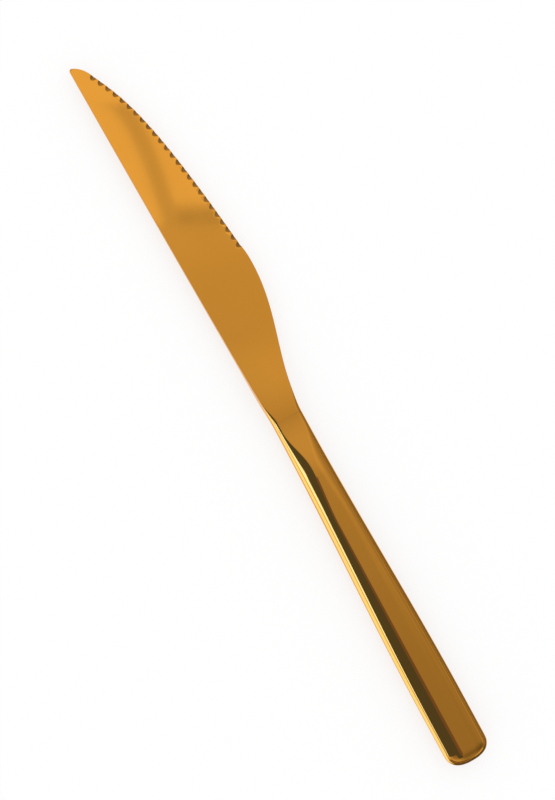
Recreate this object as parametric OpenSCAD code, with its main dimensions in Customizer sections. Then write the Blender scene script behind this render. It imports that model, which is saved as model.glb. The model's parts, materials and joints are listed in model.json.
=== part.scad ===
// Steak knife with a serrated blade and a hollow handle.
// It lies on its side: +X points to the blade's tip, +Y to its spine, +Z up.
// Pieces are drawn about the joint, where the blade's shoulder meets the handle's mouth,
// with the handle's axis along X and the blade's middle plane at z = 0, and then set down.

/* [Blade] */
// Length from the joint to the tip
blade_len = 119; // [99:1:143]
// Depth of the belly, from the handle's axis to the lowest point of the edge
belly_depth = 12.9; // [10.7:0.1:15.5]
// Distance from the joint to the lowest point of the belly
heel_len = 44.5; // [37:0.5:53]
// Length of plain edge between that point and the serration
belly_len = 6.7; // [4:0.1:9]
// How far the edge has come up where the serration begins
belly_lift = 0.7; // [0.3:0.1:1.5]
// Length of the rounded nose
nose_len = 3.8; // [3:0.1:5]
// Height of the rounded nose, from the serration's end up to the tip
nose_height = 4; // [3:0.1:5]
// How far the spine rises from the joint to the tip
spine_rise = 2.9; // [0:0.1:4]
// How far the spine bows out of straight at its middle
spine_bow = 0.17; // [0:0.01:0.5]
// Radius of the corner where the spine meets the nose
tip_r = 0.7; // [0.4:0.1:1.2]
// Thickness at the spine, where the neck ends
blade_t = 2.5; // [2.1:0.1:3]
// Thickness at the spine, at the tip
tip_t = 1.1; // [0.9:0.1:1.4]
// Thickness along the cutting edge
edge_t = 0.5; // [0.45:0.05:0.6]
// Length of the neck, over which the blade thickens towards the joint
neck_len = 28; // [23:0.5:34]
// Length over which the neck's rounded sides turn into a flat spine and edge
round_len = 8; // [6:0.5:12]

/* [Serration] */
// Number of ground gullets
gullet_count = 25; // [18:1:25]
// Spacing of the gullets along the edge
gullet_pitch = 2.7; // [2.4:0.05:2.75]
// Radius of the grinding wheel's rim
gullet_r = 1.7; // [1.5:0.05:1.8]
// Depth of a gullet below the upper face, at the edge
gullet_depth = 0.41; // [0.35:0.01:0.42]
// Angle at which a gullet runs out into the face
gullet_tilt = 20; // [18:1:25]

/* [Handle] */
// Length from the joint to the butt
handle_len = 113; // [94:1:136]
// Thickness over the two flats
handle_t = 7; // [5.9:0.1:8.4]
// Width at the widest, near the butt
handle_w = 13.5; // [11.3:0.1:16.2]
// Width at the joint
neck_w = 9.5; // [8.4:0.1:11.3]
// Thickness at the joint
neck_t = 4.5; // [4.2:0.1:5.4]
// Width of the flat on each broad face
flat_w = 3.6; // [3:0.1:4.4]
// Width of each rounded flank at the joint, where the flat is broadest
neck_round = 1.35; // [1.3:0.05:1.9]
// Length over which the handle widens, from the joint
flare_len = 95; // [79:1:108]
// Length over which the handle thickens, from the joint
shoulder_len = 19.5; // [16:0.5:20.5]
// Distance behind the joint at which the handle's flat starts, at its narrowest
waist_len = 16; // [13:0.5:18]
// Width of the flat where it starts
waist_w = 1.2; // [1:0.1:2]
// Length over which the flat grows to its full width
widen_len = 18; // [15:0.5:24]
// Length of the butt's rounding, seen on the broad face
butt_plan = 5; // [4:0.1:6]
// Length of the butt's rounding, seen from the side
butt_side = 4; // [3.3:0.1:4.8]
// Thickness of the pressed sheet
wall = 1.1; // [0.9:0.05:1.2]

/* [Joints] */
// Width of the weld between the two shells
weld_w = 0.4; // [0.3:0.05:0.5]
// Thickness of the braze between the blade's shoulder and the handle's mouth
braze_t = 0.3; // [0.2:0.05:0.4]
// Length of the spigot that centres the blade in the handle's mouth
spigot_len = 3; // [2.5:0.5:3.5]
// Gap around the spigot
spigot_gap = 0.1; // [0.08:0.01:0.15]
// Length of the tang, from the joint
tang_len = 60; // [50:1:72]
// Width of the tang at its root
tang_w = 5; // [4.2:0.1:6]
// Width of the tang at its end
tang_end_w = 3.4; // [2.8:0.1:4]
// Thickness of the tang
tang_t = 1.8; // [1.5:0.1:2.1]
// Number of key notches along each side of the tang
notch_count = 4; // [2:1:5]
// Radius of a key notch
notch_r = 0.7; // [0.5:0.1:0.8]
// Depth to which cement fills the handle, from the joint
cement_len = 86; // [74:1:88]
// Gap between the cement and the sheet
cement_gap = 0.08; // [0.07:0.01:0.12]

/* [Hidden] */
$fn = 48;

gold = [0.80, 0.58, 0.22];
bright_steel = [0.72, 0.72, 0.70];
cement_grey = [0.62, 0.60, 0.55];

// Steps along each curve, and around each rounded flank
heel_steps = 14;
belly_steps = 4;
sweep_steps = 16;
nose_steps = 8;
flank_steps = 7;
flat_steps = 4;
handle_steps = 26;
butt_steps = 9;

// How full the butt's rounding is: 2 is an ellipse, and more is squarer
butt_fullness_plan = 2.5;
butt_fullness_side = 2.2;

// Slopes of the edge where the serration starts and ends, and the reach of its two handles
sweep_start_slope = 0.115;
sweep_end_slope = 0.5;
sweep_lead = 0.73;
sweep_trail = 0.16;
// Width of the blunt end that is left at the tip
tip_land = 0.3;
// How far the pieces of one forging overlap before they are fused
fuse = 1;
// Length of sheet that is trimmed off the handle's mouth
trim = 1;

weld_half = weld_w / 2;

function smooth(u) =
    let (c = min(max(u, 0), 1))
    c * c * (3 - 2 * c);

function mix(a, b, share) = a + (b - a) * share;

function bezier(p, steps, first = 0) = [
    for (i = [first : steps])
        let (t = i / steps, s = 1 - t)
        s * s * s * p[0] + 3 * s * s * t * p[1] + 3 * s * t * t * p[2] + t * t * t * p[3]
];

// Share of the full size that is left at a distance past the start of a rounding
function rounding(past, length, fullness) =
    past <= 0 ? 1 : pow(max(1 - pow(min(past / length, 1), fullness), 0), 1 / fullness);

// Full thickness through the neck and the shoulder, which meet level at the joint
function swell_t(x) = x > 0
    ? mix(neck_t, blade_t, smooth(x / neck_len))
    : mix(neck_t, handle_t, smooth(-x / shoulder_len));

// Outline of the blade

tip_y = neck_w / 2 + spine_rise - tip_r - tip_land;
sweep_start = [heel_len + belly_len, belly_lift - belly_depth];
sweep_end = [blade_len - nose_len, tip_y - nose_height];
sweep_span = sweep_end[0] - sweep_start[0];

heel_curve = [
    [braze_t, -neck_w / 2],
    [heel_len * 0.35, -neck_w / 2],
    [heel_len * 0.62, -belly_depth],
    [heel_len, -belly_depth],
];
belly_curve = [
    heel_curve[3],
    heel_curve[3] + [belly_len * 0.45, 0],
    sweep_start - [belly_len * 0.3, belly_len * 0.07],
    sweep_start,
];
sweep_curve = [
    sweep_start,
    sweep_start + sweep_lead * sweep_span * [1, sweep_start_slope],
    sweep_end - sweep_trail * sweep_span * [1, sweep_end_slope],
    sweep_end,
];
nose_curve = [
    sweep_end,
    sweep_end + nose_len * 0.37 * [1, sweep_end_slope],
    [blade_len - nose_len * 0.2, tip_y - nose_height * 0.5],
    [blade_len, tip_y],
];
edge_line = concat(
    bezier(heel_curve, heel_steps),
    bezier(belly_curve, belly_steps, 1),
    bezier(sweep_curve, sweep_steps, 1),
    bezier(nose_curve, nose_steps, 1)
);

function spine_y(x) =
    let (u = x / blade_len, past = max(x - (blade_len - tip_r), 0))
    neck_w / 2 + spine_rise * u + 4 * spine_bow * u * (1 - u)
    - (tip_r - sqrt(max(tip_r * tip_r - past * past, 0)));

// Cross-sections

neck_flat = neck_w / 2 - neck_round;

// Points over one broad face from +Y to -Y: a rounded flank, the flat, a rounded flank.
// w and t are half the width and half the thickness.
function face_line(w, t, flat) = concat(
    [for (i = [0 : flank_steps])
        let (a = 90 * i / flank_steps)
        [flat + (w - flat) * cos(a), weld_half + (t - weld_half) * sin(a)]],
    [for (i = [1 : flat_steps - 1]) [flat - 2 * flat * i / flat_steps, t]],
    [for (i = [flank_steps : -1 : 0])
        let (a = 90 * i / flank_steps)
        [-flat - (w - flat) * cos(a), weld_half + (t - weld_half) * sin(a)]]
);

function closed_section(face) = concat(
    face,
    [for (i = [len(face) - 1 : -1 : 0]) [face[i][0], -face[i][1]]]
);

function mouth_section(inset) = closed_section(
    face_line(neck_w / 2 - inset, swell_t(0) / 2 - inset, neck_flat)
);

// One broad face of the blade at x: the joint's oval, melting into a wedge
function blade_face(x, low) =
    let (
        high = spine_y(x),
        oval = face_line(neck_w / 2, swell_t(x) / 2, neck_flat),
        spine_half = (swell_t(x) - (blade_t - tip_t) * x / blade_len) / 2,
        edge_half = mix(spine_half, edge_t / 2, smooth(x / heel_len)),
        melt = smooth(x / round_len)
    )
    [for (p = oval)
        let (across = (1 - p[0] / (neck_w / 2)) / 2)
        [
            mix(high, low, across),
            mix(p[1], mix(spine_half, edge_half, across), melt)
        ]];

// One broad face of the handle at a distance behind the joint, drawn inset into the sheet
function handle_face(d, inset) =
    let (
        plan = rounding(d - (handle_len - butt_plan), butt_plan, butt_fullness_plan),
        side = rounding(d - (handle_len - butt_side), butt_side, butt_fullness_side),
        w = mix(neck_w, handle_w, smooth(d / flare_len)) / 2 - inset,
        t = weld_half + (swell_t(-d) / 2 - inset - weld_half) * side,
        past = (d - spigot_len) / (waist_len - spigot_len),
        narrow = mix(neck_flat, waist_w / 2, smooth(past)),
        flat = mix(narrow, flat_w / 2, smooth((d - waist_len) / widen_len))
    )
    face_line(w * plan, t, flat * plan);

// Where a distance behind the joint lies on a surface drawn inset into the sheet
function handle_x(d, inset) = -d * (handle_len - inset) / handle_len;

handle_stations = concat(
    [for (i = [0 : handle_steps]) (handle_len - butt_plan) * i / handle_steps],
    [for (i = [1 : butt_steps - 1])
        handle_len - butt_plan + butt_plan * sin(90 * i / butt_steps)]
);

// Solids drawn through a row of sections

function ring_at(x, section) = [for (p = section) [x, p[0], p[1]]];

function flatten(rows) = [for (row = rows) for (p = row) p];

// Two triangles on each four-sided cell of a grid of points
function grid_faces(rows, columns, start = 0, wrap = false, flip = false) = [
    for (r = [0 : rows - 2], c = [0 : columns - (wrap ? 1 : 2)], half = [0, 1])
        let (
            next = (c + 1) % columns,
            a = start + r * columns + c,
            b = start + r * columns + next,
            e = start + (r + 1) * columns + c,
            f = start + (r + 1) * columns + next,
            face = half == 0 ? [a, e, f] : [a, f, b]
        )
        flip ? [face[2], face[1], face[0]] : face
];

// A solid through closed rings that run along +X, each two broad faces of the same points
module skin(rings) {
    columns = len(rings[0]);
    last = (len(rings) - 1) * columns;
    polyhedron(
        points = flatten(rings),
        faces = concat(
            grid_faces(len(rings), columns, wrap = true),
            [for (c = [0 : columns / 2 - 2]) [c, c + 1, columns - 2 - c, columns - 1 - c]],
            [for (c = [0 : columns / 2 - 2])
                [last + columns - 1 - c, last + columns - 2 - c, last + c + 1, last + c]]
        )
    );
}

// Pieces

// Ground gullets along the serrated edge

function path_length(path, i = 1) =
    i >= len(path) ? 0 : norm(path[i] - path[i - 1]) + path_length(path, i + 1);

// The point and heading at a distance along a path
function walk(path, distance, i = 1) =
    let (step = path[i] - path[i - 1], length = norm(step))
    distance <= length || i == len(path) - 1
        ? [path[i - 1] + step * distance / length, atan2(step[1], step[0])]
        : walk(path, distance - length, i + 1);

module gullets() {
    sweep = bezier(sweep_curve, 4 * sweep_steps);
    run_out = gullet_depth / tan(gullet_tilt) + 2 * gullet_r;
    for (i = [0 : gullet_count - 1]) {
        place = walk(sweep, gullet_pitch * i);
        translate([place[0][0], place[0][1], edge_t / 2 - gullet_depth + gullet_r / cos(gullet_tilt)])
            rotate([0, 90 - gullet_tilt, place[1] + 90])
                translate([0, 0, -2 * gullet_r])
                    cylinder(r = gullet_r, h = run_out + 2 * gullet_r);
    }
}

module tang() {
    root = spigot_len - fuse;
    end_r = tang_end_w / 2;
    spacing = (tang_len - spigot_len - end_r) / (notch_count + 1);
    translate([0, 0, -tang_t / 2])
        linear_extrude(tang_t)
            difference() {
                union() {
                    polygon([
                        [-root, tang_w / 2],
                        [end_r - tang_len, end_r],
                        [end_r - tang_len, -end_r],
                        [-root, -tang_w / 2],
                    ]);
                    translate([end_r - tang_len, 0]) circle(end_r);
                }
                for (i = [1 : notch_count], side = [-1, 1]) {
                    d = spacing * i;
                    half = mix(tang_w, tang_end_w, d / (tang_len - spigot_len - end_r)) / 2;
                    translate([-spigot_len - d, side * half]) circle(notch_r);
                }
            }
}

module spigot() {
    translate([braze_t + fuse, 0, 0])
        rotate([0, -90, 0])
            linear_extrude(spigot_len + braze_t + fuse)
                rotate(90)
                    mirror([0, 1])
                        polygon(mouth_section(wall + spigot_gap));
}

module blade() {
    color(gold)
        difference() {
            union() {
                skin([for (p = edge_line)
                    ring_at(p[0], closed_section(blade_face(p[0], p[1])))]);
                spigot();
                tang();
            }
            gullets();
        }
}

// One half of the handle as it is pressed, above the weld: closed at the butt, long at the mouth
module shell_pressing() {
    stations = concat([-trim], handle_stations);
    rows = len(stations);
    outer = [for (d = stations) ring_at(handle_x(d, 0), handle_face(d, 0))];
    inner = [for (d = stations) ring_at(handle_x(d, wall), handle_face(d, wall))];
    columns = len(outer[0]);
    count = rows * columns;
    outer_end = 2 * count;
    inner_end = outer_end + 1;
    last = (rows - 1) * columns;
    polyhedron(
        points = concat(
            flatten(outer),
            flatten(inner),
            [[-handle_len, 0, weld_half], [wall - handle_len, 0, weld_half]]
        ),
        faces = concat(
            grid_faces(rows, columns, flip = true),
            grid_faces(rows, columns, start = count),
            [for (c = [0 : columns - 2]) [last + c + 1, outer_end, last + c]],
            [for (c = [0 : columns - 2]) [count + last + c, inner_end, count + last + c + 1]],
            [for (c = [0 : columns - 2]) [count + c, count + c + 1, c + 1, c]],
            [for (r = [0 : rows - 2], side = [0, columns - 1])
                let (
                    a = r * columns + side,
                    b = a + columns,
                    land = [a, b, count + b, count + a]
                )
                side == 0 ? land : [land[3], land[2], land[1], land[0]]],
            [[outer_end, inner_end, count + last, last]],
            [[last + columns - 1, count + last + columns - 1, inner_end, outer_end]]
        )
    );
}

// The pressing, trimmed square at the mouth
module handle_shell() {
    difference() {
        shell_pressing();
        translate([0, -neck_w, -handle_t]) cube([2 * trim, 2 * neck_w, 2 * handle_t]);
    }
}

module upper_handle_shell() {
    color(gold) handle_shell();
}

module lower_handle_shell() {
    color(gold) mirror([0, 0, 1]) handle_shell();
}

// Half of the handle's outline on the weld's plane, from the mouth to the butt
function weld_side(inset) = concat(
    [for (d = handle_stations) [handle_x(d, inset), handle_face(d, inset)[0][0]]],
    [[inset - handle_len, 0]]
);

function reversed(list) = [for (i = [len(list) - 1 : -1 : 0]) list[i]];

function weld_path(inset) =
    let (side = weld_side(inset))
    concat(side, [for (i = [len(side) - 2 : -1 : 0]) [side[i][0], -side[i][1]]]);

// Weld bead between the two shells, along one side, round the butt and back
module shell_seam_weld() {
    color(gold)
        translate([0, 0, -weld_half])
            linear_extrude(weld_w)
                polygon(concat(weld_path(0), reversed(weld_path(wall))));
}

// Braze that closes the joint, round the spigot and flush with the handle
module bolster_braze_ring() {
    color(bright_steel)
        translate([braze_t, 0, 0])
            rotate([0, -90, 0])
                linear_extrude(braze_t)
                    rotate(90)
                        mirror([0, 1])
                            difference() {
                                polygon(mouth_section(0));
                                polygon(mouth_section(wall));
                            }
}

// Cement cast round the tang
module tang_cement() {
    inset = wall + cement_gap;
    depth = spigot_len + cement_gap;
    stations = concat(
        [cement_len],
        reversed([for (d = handle_stations) if (d > depth && d < cement_len) d]),
        [depth]
    );
    color(cement_grey)
        difference() {
            skin([for (d = stations)
                ring_at(-d, closed_section(handle_face(d, inset)))]);
            tang();
        }
}

// The part's frame: its box's middle on the ground that it lies on
spine_top = max([for (p = edge_line) spine_y(p[0])]);
edge_bottom = min([for (p = edge_line) p[1]]);

module set_down() {
    translate([
        (handle_len - blade_len) / 2,
        -(spine_top + edge_bottom) / 2,
        handle_t / 2,
    ])
        children();
}

set_down() blade();
set_down() upper_handle_shell();
set_down() lower_handle_shell();
set_down() shell_seam_weld();
set_down() bolster_braze_ring();
set_down() tang_cement();
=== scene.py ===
"""Looks of a steak knife: a gold-coated serrated blade, brazed to a hollow pressed handle.

The knife lies on its side. +X points to the tip, +Y to the spine and +Z up. Pieces are modelled in
millimetres about the joint, where the blade's shoulder meets the handle's mouth, with the handle's
axis along X and the blade's middle plane at z = 0, and are then set down in the frame.
"""

import json
import logging
import math
from collections.abc import Callable
from dataclasses import dataclass, field
from enum import Enum

import bmesh
import bpy
from mathutils import Matrix, Vector

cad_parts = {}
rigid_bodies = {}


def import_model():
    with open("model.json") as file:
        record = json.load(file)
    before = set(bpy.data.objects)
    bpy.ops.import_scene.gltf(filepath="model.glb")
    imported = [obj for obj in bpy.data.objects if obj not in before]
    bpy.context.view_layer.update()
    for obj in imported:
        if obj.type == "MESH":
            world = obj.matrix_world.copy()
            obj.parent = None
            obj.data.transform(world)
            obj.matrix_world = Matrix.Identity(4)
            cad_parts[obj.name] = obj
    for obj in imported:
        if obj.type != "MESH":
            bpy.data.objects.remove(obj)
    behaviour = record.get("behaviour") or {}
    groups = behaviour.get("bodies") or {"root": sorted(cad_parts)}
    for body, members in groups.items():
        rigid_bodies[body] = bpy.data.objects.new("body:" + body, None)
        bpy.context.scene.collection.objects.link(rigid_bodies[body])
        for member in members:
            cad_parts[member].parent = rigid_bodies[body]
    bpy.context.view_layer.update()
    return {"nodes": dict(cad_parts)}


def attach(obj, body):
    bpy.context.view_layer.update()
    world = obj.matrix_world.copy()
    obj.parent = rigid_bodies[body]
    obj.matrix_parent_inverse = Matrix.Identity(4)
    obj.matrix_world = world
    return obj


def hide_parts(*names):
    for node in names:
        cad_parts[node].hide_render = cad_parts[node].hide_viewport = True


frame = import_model()

log = logging.getLogger("steak_knife")

Colour = tuple[float, float, float]
Pair = tuple[float, float]
Triple = tuple[float, float, float]
Line = tuple[Pair, Pair]
Values = dict[str, float | tuple[float, ...]]
Piece = bpy.types.Object
Tree = bpy.types.NodeTree
Socket = bpy.types.NodeSocket
Material = bpy.types.Material
Test = Callable[[Vector], bool]

ORIGIN: Triple = (0.0, 0.0, 0.0)
MILLIMETRE = 0.001
# Points of a mesh in millimetres that lie this near to a place are at it
NEAR = 1e-3
# Points of a rounded row at this share of its height are on its flat
LEVEL_SHARE = 0.99999


class Body(Enum):
    """Bodies of the frame that a piece may ride on."""

    ROOT = "root"


class Slot(Enum):
    """Material slots of the record."""

    BLADE = "blade_metal"
    HANDLE = "handle_metal"
    BRAZE = "braze_metal"


class Node(Enum):
    """Solids of the frame."""

    BLADE = "blade"
    UPPER_SHELL = "upper_handle_shell"
    LOWER_SHELL = "lower_handle_shell"
    WELD = "shell_seam_weld"
    BRAZE = "bolster_braze_ring"
    CEMENT = "tang_cement"


def smooth(share: float) -> float:
    """Eases a share of a length, level at both ends.

    Args:
        share: How far along, held between 0 and 1.

    Returns:
        The eased share.
    """
    held = min(max(share, 0.0), 1.0)
    return held * held * (3.0 - 2.0 * held)


def mix(start: float, end: float, share: float) -> float:
    """Gives the value at a share of the way between two.

    Args:
        start: Value at share 0.
        end: Value at share 1.
        share: How far along.

    Returns:
        The value in between.
    """
    return start + (end - start) * share


def rounding(past: float, length: float, fullness: float) -> float:
    """Gives the share of the full size that is left inside a rounded end.

    Args:
        past: Distance past the start of the rounding.
        length: Length of the rounding.
        fullness: 2 for an ellipse, more for a squarer end.

    Returns:
        The share, from 1 down to 0.
    """
    if past <= 0.0:
        return 1.0
    return max(1.0 - min(past / length, 1.0) ** fullness, 0.0) ** (1.0 / fullness)


def bezier(points: tuple[Vector, Vector, Vector, Vector], share: float) -> Vector:
    """Gives a point on a curve with two ends and two handles.

    Args:
        points: End, handle, handle, end.
        share: How far along.

    Returns:
        The point.
    """
    left = 1.0 - share
    return (
        points[0] * left**3
        + points[1] * (3.0 * left * left * share)
        + points[2] * (3.0 * left * share * share)
        + points[3] * share**3
    )


def deselect_all() -> None:
    """Leaves no object selected, the solids of the frame among them."""
    for thing in bpy.context.view_layer.objects:
        thing.select_set(False)


def take_up(piece: Piece) -> None:
    """Makes a piece the only selected object and the active one.

    Args:
        piece: The object.
    """
    deselect_all()
    piece.select_set(True)
    bpy.context.view_layer.objects.active = piece


def open_mesh(piece: Piece) -> bmesh.types.BMesh:
    """Takes up a piece and enters edit mode, in vertex selection.

    Args:
        piece: The object.

    Returns:
        The mesh under edit.
    """
    take_up(piece)
    bpy.ops.object.mode_set(mode="EDIT")
    bpy.ops.mesh.select_mode(type="VERT")
    return bmesh.from_edit_mesh(piece.data)


def close_mesh() -> None:
    """Goes back to object mode."""
    bpy.ops.object.mode_set(mode="OBJECT")


def pick(piece: Piece, test: Test) -> None:
    """Selects the points of a mesh under edit that lie in a place.

    Args:
        piece: The object in edit mode.
        test: Says whether a point is in the place.
    """
    mesh = bmesh.from_edit_mesh(piece.data)
    for point in mesh.verts:
        point.select = test(point.co)
    mesh.select_flush_mode()
    bmesh.update_edit_mesh(piece.data)


def select_mesh() -> None:
    """Selects all of the mesh under edit."""
    bpy.ops.mesh.select_all(action="SELECT")


def resize(scale: Triple, pivot: Triple = ORIGIN) -> None:
    """Resizes what is selected about a pivot.

    Args:
        scale: Growth along each axis.
        pivot: The point that stays.
    """
    bpy.ops.transform.resize(value=scale, center_override=pivot)


def move(by: Triple) -> None:
    """Moves what is selected.

    Args:
        by: How far along each axis.
    """
    bpy.ops.transform.translate(value=by)


def copy_of(piece: Piece, name: str) -> Piece:
    """Copies a piece, with a mesh of its own.

    Args:
        piece: The object to copy.
        name: The copy's name.

    Returns:
        The copy.
    """
    take_up(piece)
    bpy.ops.object.duplicate()
    twin = bpy.context.view_layer.objects.active
    twin.name = name
    twin.data.name = name
    return twin


def apply_modifier(piece: Piece, modifier: bpy.types.Modifier) -> None:
    """Applies a modifier to its piece.

    Args:
        piece: The object.
        modifier: One of its modifiers.
    """
    take_up(piece)
    bpy.ops.object.modifier_apply(modifier=modifier.name)


def give_thickness(piece: Piece, thickness: float) -> None:
    """Turns a skin into a wall that grows inwards.

    Args:
        piece: The object, with its faces outwards.
        thickness: The wall's thickness.
    """
    wall = piece.modifiers.new("wall", "SOLIDIFY")
    wall.thickness = thickness
    wall.offset = -1.0
    wall.use_even_offset = True
    wall.use_quality_normals = True
    apply_modifier(piece, wall)


def combine(piece: Piece, tool: Piece, operation: str) -> None:
    """Cuts a tool out of a piece or fuses the two, and removes the tool.

    Args:
        piece: The object that stays.
        tool: The object that is used up.
        operation: DIFFERENCE or UNION.
    """
    step = piece.modifiers.new("combine", "BOOLEAN")
    step.operation = operation
    step.solver = "EXACT"
    step.material_mode = "TRANSFER"
    step.object = tool
    apply_modifier(piece, step)
    mesh = tool.data
    bpy.data.objects.remove(tool)
    bpy.data.meshes.remove(mesh)


@dataclass(frozen=True)
class Ground:
    """Where the joint stands in the frame, in millimetres."""

    joint_x: float = -3.0
    axis_y: float = 2.6324
    middle_z: float = 3.5

    def set_down(self, piece: Piece) -> None:
        """Turns a finished mesh from millimetres about the joint to metres in the frame.

        Args:
            piece: The object, at the origin.
        """
        open_mesh(piece)
        select_mesh()
        move((self.joint_x, self.axis_y, self.middle_z))
        resize((MILLIMETRE, MILLIMETRE, MILLIMETRE))
        close_mesh()


@dataclass(frozen=True)
class JointSection:
    """The oval that the blade's shoulder and the handle's mouth share, in millimetres."""

    half_width: float = 4.75
    half_thickness: float = 2.25
    half_flat: float = 3.4
    weld_half: float = 0.2
    braze: float = 0.3
    wall: float = 1.1


class RowLoft:
    """An open row of points that is pulled along the knife and reshaped at each stop."""

    def __init__(self, name: str) -> None:
        """Adds the plane that the row is made from, standing across the knife.

        Args:
            name: The piece's name.
        """
        deselect_all()
        bpy.ops.mesh.primitive_plane_add(size=1.0, rotation=(0.0, -math.pi / 2.0, 0.0))
        self.piece: Piece = bpy.context.view_layer.objects.active
        self.piece.name = name
        self.piece.data.name = name
        bpy.ops.object.transform_apply(location=True, rotation=True, scale=True)
        self.mesh: bmesh.types.BMesh = open_mesh(self.piece)
        self.row: list[bmesh.types.BMVert] = []

    def first_row(
        self, low: float, high: float, corner: float, steps: tuple[int, int], feet: bool
    ) -> None:
        """Rounds the plane's upper corners and opens it to a row from its +Y foot to its -Y foot.

        Args:
            low: The row's -Y end.
            high: The row's +Y end.
            corner: Radius of both corners.
            steps: Steps round each corner, and along the flat.
            feet: Whether the points under the two corners stay.
        """
        select_mesh()
        resize((1.0, high - low, 2.0 * corner))
        move((0.0, (high + low) / 2.0, 0.0))
        pick(self.piece, lambda place: place.z > 0.0)
        bpy.ops.mesh.bevel(
            offset_type="OFFSET",
            offset=corner,
            segments=steps[0],
            profile=0.5,
            affect="VERTICES",
            clamp_overlap=False,
        )
        pick(self.piece, lambda place: place.z < -0.5 * corner)
        bpy.ops.mesh.delete(type="EDGE_FACE" if feet else "VERT")
        pick(self.piece, lambda place: place.z > corner * LEVEL_SHARE)
        bpy.ops.mesh.subdivide(number_cuts=steps[1] - 1)
        select_mesh()
        self.mesh = bmesh.from_edit_mesh(self.piece.data)
        ends = [point for point in self.mesh.verts if len(point.link_edges) == 1]
        self.row = [max(ends, key=lambda point: point.co.y)]
        before = None
        while len(self.row) < len(self.mesh.verts):
            here = self.row[-1]
            after = [e.other_vert(here) for e in here.link_edges if e.other_vert(here) is not before]
            before = here
            self.row.append(next(point for point in after if point not in self.row))

    def choose(self, first: int, last: int) -> None:
        """Selects a stretch of the row.

        Args:
            first: Place of its first point.
            last: Place of its last point.
        """
        for place, point in enumerate(self.row):
            point.select = first <= place <= last
        self.mesh.select_flush_mode()

    def pull(self, along: float) -> None:
        """Pulls the row along X and leaves a band of faces behind it.

        Args:
            along: How far.
        """
        self.choose(0, len(self.row) - 1)
        bpy.ops.mesh.extrude_edges_move(TRANSFORM_OT_translate={"value": (along, 0.0, 0.0)})
        self.mesh = bmesh.from_edit_mesh(self.piece.data)
        fresh = {point for point in self.mesh.verts if point.select}
        self.row = [
            next(e.other_vert(point) for e in point.link_edges if e.other_vert(point) in fresh)
            for point in self.row
        ]


@dataclass(frozen=True)
class Corner:
    """A rounded corner of the blade's section: its ends across the knife, radius and half thicknesses."""

    outer: float
    inner: float
    radius: float
    half: float
    foot: float


@dataclass(frozen=True)
class BladeStation:
    """The blade's section at one place along it."""

    x: float
    spine: Corner
    edge: Corner


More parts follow.
